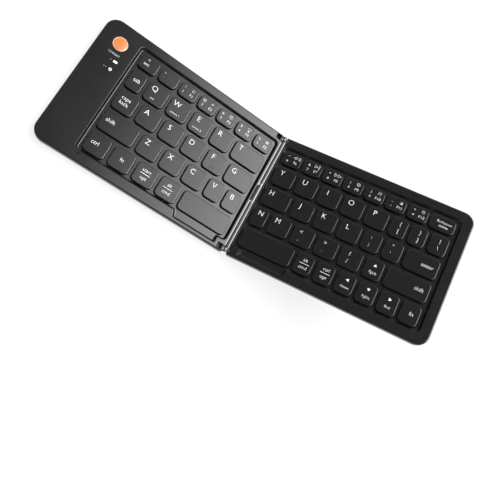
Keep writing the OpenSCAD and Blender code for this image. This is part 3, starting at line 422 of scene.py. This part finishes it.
# The grain of about 0.03 mm is drawn at 0.2 mm
key_plastic = moulded_plastic("moulded_abs_key", 0.2, 0.2 * MM, 0.003 * MM)
places = {}
for node in key_nodes:
    places[node] = key_boxes(node)
    caps = bmesh.new()
    for box in places[node]:
        add_cap(caps, *box)
    if node in ("key_f", "key_j"):
        add_homing_bar(caps, *places[node][0][:3])
    bmesh.ops.recalc_face_normals(caps, faces=caps.faces)
    piece = add_piece("cap_" + node, caps, node, [key_plastic], stand(node), facet_angle)
    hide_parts(node)

# Legends
# The signs on the caps are printed in off-white ink through a screen, which leaves a layer that can just be
# felt. Letters stand near the upper left corner, and the short keys carry four small signs each.
ink_thickness = 0.012
ink_rise = 0.004
ink_height = key_top + ink_rise
ink_cover = 0.82
ink_merge_distance = 0.0005
capital_share = 0.685
stroke_thinning = 0.01
rule_length = 6.4
rule_width = 0.3

# Heights of the signs, of capitals where they have any
letter_size = 3.45
hint_size = 1.25
side_word_size = 2.45
double_word_size = 2.2
punctuation_size = 2.6
sign_size = 1.7
icon_size = 2.0
function_size = 1.9


def printing_ink(name, colour):
    """Screen-printed ink, matt, with the slightly uneven cover that a mesh leaves."""
    material, tree, shader, place = new_material(name, colour, 0.55, IOR=1.48)
    # The screen's mesh of about 0.1 mm is drawn at 0.3 mm
    cover = add_node(tree, "TexNoise", {"Scale": 1 / (0.3 * MM), "Detail": 2.0}, {"Vector": place})
    tint = add_node(tree, "MixRGB", {"Color1": darker(colour, ink_cover), "Color2": linear(colour)},
                    {"Fac": cover.outputs["Fac"]})
    tree.links.new(tint.outputs["Color"], shader.inputs["Base Color"])
    return material


def print_words(form, words, x, y, size, z=ink_height):
    """Prints words centred at x, with their capitals centred at y."""
    curve = bpy.data.curves.new("words", "FONT")
    curve.body = words
    curve.size = size / capital_share
    curve.resolution_u = 3
    curve.extrude = ink_thickness / 2
    curve.offset = -stroke_thinning * curve.size
    curve.align_x = "CENTER"
    letters = bpy.data.objects.new("words", curve)
    mesh = bpy.data.meshes.new_from_object(letters)
    mesh.transform(Matrix.Translation((x, y - size / 2, z)))
    form.from_mesh(mesh)
    bpy.data.objects.remove(letters)
    bpy.data.curves.remove(curve)
    bpy.data.meshes.remove(mesh)


def print_rule(form, x, y):
    """Prints the thin line between two words, centred at x and y."""
    half = Vector((rule_length, rule_width, ink_thickness)) / 2
    middle = Vector((x, y, ink_height))
    add_block(form, middle - half, middle + half)


def words_at(x, *lines, size):
    """A column of words as (text, from the left edge, from the far edge, size)."""
    return [(text, x, y, size) for text, y in lines]


def double_key(x, upper, lower):
    """Two words with a rule between them."""
    return words_at(x, (upper, 4.0), ("rule", 6.5), (lower, 9.0), size=double_word_size)


def four_signs(shifted, plain, icon, function, x, x_icon):
    """The signs of a short key: two characters on its left, an icon and a function on its right."""
    return [(shifted, x, 3.1, sign_size), (plain, x, 6.7, sign_size),
            (icon, x_icon, 2.8, icon_size), (function, x_icon, 6.5, function_size)]


legends = {}
for node in key_nodes:
    if node.startswith("key_"):
        x = 4.9 if node in right_nodes else 4.6
        legends[node] = [[(node[-1].upper(), x, 3.95, letter_size)]]
for letter, word in zip("qwe", ("pair", "system 1", "system 2")):
    legends["key_" + letter][0].append((word, 6.2, 10.4, hint_size))
legends["number_keys_left"] = [
    [("□", 5.2, 2.6, 1.2), ("esc", 4.9, 5.7, 2.0)],
    words_at(3.0, ("~", 3.1), ("`", 6.7), size=1.75)]
legends["number_keys_left"] += [
    four_signs(shifted, plain, icon, "F" + plain, 3.1, 9.0)
    for shifted, plain, icon in zip("!@#$%", "12345", "⌂⌕⧉✂☰")]
legends["number_keys_right"] = [
    four_signs(shifted, plain, icon, "F" + str(number), 3.7, 9.2)
    for shifted, plain, icon, number in zip("^&*()_+", "67890-=",
                                            ("◁◁", "▷‖", "▷▷", "◎", "▤", "◪", "☼"), range(6, 13))]
legends["side_keys_left"] = [
    words_at(5.6, ("tab", 6.3), size=side_word_size),
    words_at(6.6, ("caps", 4.3), ("lock", 7.8), size=side_word_size),
    words_at(6.0, ("shift", 5.8), size=side_word_size),
    words_at(5.4, ("ctrl", 6.2), size=side_word_size),
    words_at(7.3, ("fn", 6.5), size=side_word_size),
    double_key(6.9, "start", "opt"),
    double_key(6.8, "alt", "cmd")]
legends["side_keys_right"] = [
    words_at(8.9, ("Backspace", 3.8), ("delete", 6.6), size=1.65),
    words_at(14.5, ("enter", 6.7), size=side_word_size),
    words_at(21.2, ("shift", 6.5), size=side_word_size),
    double_key(6.2, "alt", "cmd"),
    double_key(6.3, "ctrl", "opt"),
    words_at(6.7, ("fn", 6.7), size=side_word_size)]
legends["punctuation_keys"] = [
    words_at(x, (shifted, 4.05), (plain, 9.05), size=punctuation_size)
    for x, shifted, plain in zip((5.85, 5.95, 6.05, 4.8, 4.9, 5.15, 5.3, 5.45), "{}|:\"<>?", "[]\\;',./")]
legends["arrow_keys"] = [
    words_at(6.3, (sign, 4.2), size=1.7) + words_at(6.3, (word, 9.0), size=1.6)
    for sign, word in zip("▲◀▼▶", ("PgUp", "Home", "PgDn", "End"))]

white_ink = printing_ink("screen_printed_ink", "#fbfbfb")
for node, signs in legends.items():
    print_form = bmesh.new()
    for (x0, y0, x1, y1), marks in zip(places[node], signs):
        for text, x, y, size in marks:
            if text == "rule":
                print_rule(print_form, x0 + x, y1 - y)
            else:
                print_words(print_form, text, x0 + x, y1 - y, size)
    bmesh.ops.remove_doubles(print_form, verts=print_form.verts, dist=ink_merge_distance)
    add_piece("legend_" + node, print_form, node, [white_ink], stand(node))

# Power button
# A glossy salmon dome of ABS in a thin pale ring, moulded in two shots and pressed down against a switch on
# the board below. It sits in a round hole of the deck.
button_low, button_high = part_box("power_button")
button_centre = (button_low + button_high) / 2 / MM
deck_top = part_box("left_deck")[1].z / MM
button_radius = 4.7
button_segments = 64
flange_radius = (button_high.x - button_low.x) / 2 / MM
flange_depth = 0.5
ring_width = 0.5
ring_inner = button_radius - ring_width
dome_gap = 0.03
dome_angles = (12, 26, 40, 54, 66, 78)

# Heights from the deck's top
dome_top = button_high.z / MM - deck_top
dome_edge = -0.12
flange_top = -1.35
ring_floor = flange_top + 0.2
dome_floor = flange_top + 0.3


def revolve(form, outline, segments, material=0):
    """Spins an outline of (radius, height) about the upright axis."""
    before = set(form.faces)
    verts = [form.verts.new((radius, 0, height)) for radius, height in outline]
    edges = [form.edges.new(pair) for pair in zip(verts, verts[1:])]
    bmesh.ops.spin(form, geom=verts + edges, cent=(0, 0, 0), axis=(0, 0, 1), angle=math.tau, steps=segments,
                   use_merge=True)
    for face in set(form.faces) - before:
        face.material_index = material


def gloss_plastic(name, colour, roughness):
    """Polished moulded plastic with a clear gloss and very fine wear."""
    material, tree, shader, place = new_material(name, colour, roughness, IOR=1.53, Coat_Weight=0.5,
                                                 Coat_Roughness=0.12)
    # Handling leaves rubbed patches of about 1.5 mm
    wear = add_node(tree, "TexNoise", {"Scale": 1 / (1.5 * MM), "Detail": 5.0}, {"Vector": place})
    sheen = add_node(tree, "MapRange", {"To Min": roughness - 0.06, "To Max": roughness + 0.1},
                     {"Value": wear.outputs["Fac"]})
    tree.links.new(sheen.outputs["Result"], shader.inputs["Roughness"])
    return material


salmon = gloss_plastic("polished_abs_salmon", "#e8793f", 0.3)
cream = gloss_plastic("polished_abs_cream", "#f0c9a6", 0.35)
button = bmesh.new()
revolve(button, [(0, flange_top - flange_depth), (flange_radius, flange_top - flange_depth),
                 (flange_radius, flange_top), (button_radius, flange_top), (button_radius, -0.15),
                 (button_radius - 0.12, 0.03), (button_radius - 0.35, 0.1), (ring_inner + 0.12, 0.05),
                 (ring_inner, dome_edge), (ring_inner, ring_floor), (0, ring_floor)], button_segments, 1)
dome = [(0, dome_floor), (ring_inner - dome_gap, dome_floor), (ring_inner - dome_gap, dome_edge)]
for angle in [math.radians(step) for step in dome_angles]:
    dome.append((ring_inner * math.cos(angle), dome_edge + (dome_top - dome_edge) * math.sin(angle)))
revolve(button, dome + [(0, dome_top)], button_segments, 0)
bmesh.ops.remove_doubles(button, verts=button.verts, dist=merge_distance)
bmesh.ops.recalc_face_normals(button, faces=button.faces)
bmesh.ops.translate(button, vec=(button_centre.x, button_centre.y, deck_top), verts=button.verts)
power_button = add_piece("power_button_cap", button, "power_button", [salmon, cream])
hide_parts("power_button")

# Lights and printed marks
# Three clear light pipes end flush with the deck below the button. Small marks printed beside them say
# which is the charge light and which are the pairing lights.
mark_z = deck_top + ink_rise
word_place = (button_centre.x + 0.2, 24.3)
mark_word_size = 1.1
cell_middle = Vector((-110.7, 20.1, mark_z))
cell_half = Vector((1.4, 0.8, ink_thickness / 2))
cell_corner = 0.45
ring_middle = (-110.8, 14.3, mark_z)
ring_outline = [(0.4, -ink_thickness / 2), (1.0, -ink_thickness / 2), (1.0, ink_thickness / 2),
                (0.4, ink_thickness / 2), (0.4, -ink_thickness / 2)]


def dress(nodes, material):
    """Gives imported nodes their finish."""
    for node in nodes:
        for slot in frame["nodes"][node].material_slots:
            slot.material = material


acrylic, tree, shader, place = new_material("clear_acrylic", "#8b8f93", 0.12, IOR=1.49,
                                            Transmission_Weight=0.4)
# Flow in the mould leaves a haze in clouds of about 0.6 mm
cloud = add_node(tree, "TexNoise", {"Scale": 1 / (0.6 * MM)}, {"Vector": place})
haze = add_node(tree, "MapRange", {"To Min": 0.08, "To Max": 0.2}, {"Value": cloud.outputs["Fac"]})
tree.links.new(haze.outputs["Result"], shader.inputs["Roughness"])
dress(["indicator_lenses"], acrylic)

marks = bmesh.new()
print_words(marks, "CONNECT", *word_place, mark_word_size, mark_z)
cell = bmesh.new()
add_block(cell, cell_middle - cell_half, cell_middle + cell_half)
round_uprights(cell, ink_thickness / 2, cell_corner, 4)
join_form(marks, cell)
ring = bmesh.new()
revolve(ring, ring_outline, 32)
bmesh.ops.remove_doubles(ring, verts=ring.verts, dist=ink_merge_distance)
bmesh.ops.recalc_face_normals(ring, faces=ring.faces)
bmesh.ops.translate(ring, vec=ring_middle, verts=ring.verts)
join_form(marks, ring)
add_piece("deck_marks", marks, "left_half", [printing_ink("screen_printed_grey", "#e4e4e4")])

# Hinge
# Two pairs of stamped steel brackets turn on ground steel pins at the ends, and an anodised aluminium rod
# covers the gap between the halves.
metal_edge_rounding = 0.06 * MM


def drawn_metal(name, colour, roughness, grain, stretch, metallic=1.0):
    """Metal with fine lines left by rolling or turning. Lines that are really about 0.02 mm apart are drawn
    as wide as the grain, in metres, and stretched along one axis."""
    material, tree, shader, place = new_material(name, colour, roughness, Metallic=metallic)
    lay = add_node(tree, "Mapping", {"Scale": stretch}, {"Vector": place})
    lines = add_node(tree, "TexNoise", {"Scale": 1 / grain, "Detail": 4.0},
                     {"Vector": lay.outputs["Vector"]})
    sheen = add_node(tree, "MapRange", {"From Min": 0.3, "From Max": 0.7, "To Min": roughness - 0.08,
                                        "To Max": roughness + 0.1}, {"Value": lines.outputs["Fac"]})
    tree.links.new(sheen.outputs["Result"], shader.inputs["Roughness"])
    tint = add_node(tree, "MixRGB", {"Color1": darker(colour, 0.8), "Color2": linear(colour)},
                    {"Fac": lines.outputs["Fac"]})
    tree.links.new(tint.outputs["Color"], shader.inputs["Base Color"])
    corners = add_node(tree, "Bevel", {"Radius": metal_edge_rounding}, samples=4)
    bump = add_node(tree, "Bump", {"Strength": 0.3, "Distance": 0.003 * MM},
                    {"Height": lines.outputs["Fac"], "Normal": corners.outputs["Normal"]})
    tree.links.new(bump.outputs["Normal"], shader.inputs["Normal"])
    return material


# The left pair is coloured near black and given little metal shine, as painted shade for the dark pockets
# they turn in
dress(["left_hinge_brackets"],
      drawn_metal("hinge_steel_painted_pocket_shade", "#1d1d1e", 0.5, 0.3 * MM, (1, 0.1, 1), 0.3))
dress(["right_hinge_brackets", "hinge_pins"],
      drawn_metal("satin_steel", "#77797c", 0.38, 0.3 * MM, (1, 0.1, 1)))
dress(["spine_rod"],
      drawn_metal("black_anodised_aluminium", "#232324", 0.4, 0.25 * MM, (1, 0.05, 1), 0.0))

# Rubber feet
# Oblong pads of black rubber, moulded with a dull skin that looks a little dusty. They are pressed into
# pockets over the case screws.
foot_rubber, tree, shader, place = new_material("moulded_rubber", "#171717", 0.75, IOR=1.52)
# The skin's grain of about 0.1 mm is drawn at 0.3 mm
skin = add_node(tree, "TexNoise", {"Scale": 1 / (0.3 * MM), "Detail": 4.0}, {"Vector": place})
dust = add_node(tree, "MixRGB", {"Color1": linear("#141414"), "Color2": linear("#232323")},
                {"Fac": skin.outputs["Fac"]})
tree.links.new(dust.outputs["Color"], shader.inputs["Base Color"])
bump = add_node(tree, "Bump", {"Strength": 0.5, "Distance": 0.01 * MM}, {"Height": skin.outputs["Fac"]})
tree.links.new(bump.outputs["Normal"], shader.inputs["Normal"])
dress(["left_feet", "right_feet"], foot_rubber)

# Charging socket
# A drawn steel shell, nickel plated, round a tongue with a row of gold contact pads on each side. It is
# soldered to the board and opens through the side of the left half.
socket_low, socket_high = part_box("usb_c_socket")
socket_middle = (socket_low + socket_high) / 2 / MM
tongue_half = 0.35
pad_row = 12
pad_pitch = 0.5
pad_start = 1.2
pad_end = 3.6
pad_half_width = 0.13
pad_half_height = 0.02
dress(["usb_c_socket"], drawn_metal("nickel_plated_steel", "#c9cbce", 0.25, 0.4 * MM, (0.2, 1, 1)))
gold = drawn_metal("gold_plating", "#e0b35c", 0.25, 0.2 * MM, (0.2, 1, 1))
pads = bmesh.new()
for count in range(pad_row):
    y = socket_middle.y + (count - (pad_row - 1) / 2) * pad_pitch
    for side in (-1, 1):
        z = socket_middle.z + side * tongue_half
        add_block(pads, (socket_low.x / MM + pad_start, y - pad_half_width, z - pad_half_height),
                  (socket_low.x / MM + pad_end, y + pad_half_width, z + pad_half_height))
contact_pads = add_piece("socket_contacts", pads, "left_half", [gold])

# Inside the case
# Stamped plates under the keys, a printed contact sheet and a rubber dome sheet on each, the circuit board,
# the battery, the closing magnets, the case screws and the ribbon that joins the halves.
chip_floor = 0.82 * MM
dress(["left_support_plate"], drawn_metal("stamped_steel", "#9b9da0", 0.4, 0.5 * MM, (0.05, 1, 1)))
dress(["right_support_plate"], drawn_metal("stamped_aluminium", "#b9bbbe", 0.4, 0.5 * MM, (0.05, 1, 1)))
dress(["left_magnets", "right_magnets"],
      drawn_metal("nickel_plated_magnet", "#c9cbd0", 0.18, 0.6 * MM, (1, 1, 1)))
dress(["left_screws", "right_screws"],
      drawn_metal("black_oxide_steel", "#4a4b4e", 0.45, 0.2 * MM, (1, 1, 0.2)))

# Printed silver tracks, 2.2 mm apart on grey-green film
film, tree, shader, place = new_material("printed_polyester_film", "#a9b3ae", 0.3, IOR=1.6)
tracks = add_node(tree, "TexBrick", {"Scale": 1.0, "Mortar Size": 0.25 * MM, "Brick Width": 9 * MM,
                                     "Row Height": 2.2 * MM, "Color1": linear("#8fa08a"),
                                     "Color2": linear("#98a793"), "Mortar": linear("#d5d8da")},
                  {"Vector": place})
tree.links.new(tracks.outputs["Color"], shader.inputs["Base Color"])
dress(["left_contact_sheet", "right_contact_sheet"], film)

# Black polyimide over copper tracks, which stand out as ribs 1.9 mm apart along the ribbon
ribbon, tree, shader, place = new_material("black_polyimide_ribbon", "#17181a", 0.45, IOR=1.7)
ribs = add_node(tree, "TexWave", {"Scale": 1 / (6 * MM), "Distortion": 0.0}, {"Vector": place},
                bands_direction="Y")
bump = add_node(tree, "Bump", {"Strength": 0.4, "Distance": 0.02 * MM}, {"Height": ribs.outputs["Fac"]})
tree.links.new(bump.outputs["Normal"], shader.inputs["Normal"])
dress(["link_ribbon"], ribbon)

# Moulded silicone with a faint dusty bloom in patches of about 3 mm
silicone, tree, shader, place = new_material("silicone_rubber", "#a7adb3", 0.55, IOR=1.41,
                                             Subsurface_Weight=0.15, Subsurface_Scale=0.5 * MM)
bloom = add_node(tree, "TexNoise", {"Scale": 1 / (3 * MM), "Detail": 4.0}, {"Vector": place})
tint = add_node(tree, "MixRGB", {"Color1": linear("#9da3aa"), "Color2": linear("#b4b9be")},
                {"Fac": bloom.outputs["Fac"]})
tree.links.new(tint.outputs["Color"], shader.inputs["Base Color"])
dress(["left_dome_sheet", "right_dome_sheet"], silicone)

# Aluminium laminate with the pouch's embossing of about 0.8 mm
foil, tree, shader, place = new_material("pouch_cell_foil", "#9aa3ad", 0.35, Metallic=0.9)
emboss = add_node(tree, "TexVoronoi", {"Scale": 1 / (0.8 * MM)}, {"Vector": place})
bump = add_node(tree, "Bump", {"Strength": 0.4, "Distance": 0.03 * MM},
                {"Height": emboss.outputs["Distance"]})
tree.links.new(bump.outputs["Normal"], shader.inputs["Normal"])
dress(["battery_cell"], foil)

# Green solder mask over copper traces, 0.9 mm apart. Whatever stands on the board is a black package
board, tree, shader, place = new_material("circuit_board", "#2f6b45", 0.35, IOR=1.55)
traces = add_node(tree, "TexBrick", {"Scale": 1.0, "Mortar Size": 0.12 * MM, "Brick Width": 3.1 * MM,
                                     "Row Height": 0.9 * MM, "Color1": linear("#1f5535"),
                                     "Color2": linear("#235c3a"), "Mortar": linear("#3c8055")},
                  {"Vector": place})
heights = add_node(tree, "SeparateXYZ", links={"Vector": place})
chips = add_node(tree, "Math", {1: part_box("main_circuit_board")[0].z + chip_floor},
                 {0: heights.outputs["Z"]}, operation="GREATER_THAN")
packages = add_node(tree, "MixRGB", {"Color2": linear("#1b1b1d")},
                    {"Fac": chips.outputs["Value"], "Color1": traces.outputs["Color"]})
tree.links.new(packages.outputs["Color"], shader.inputs["Base Color"])
dress(["main_circuit_board"], board)
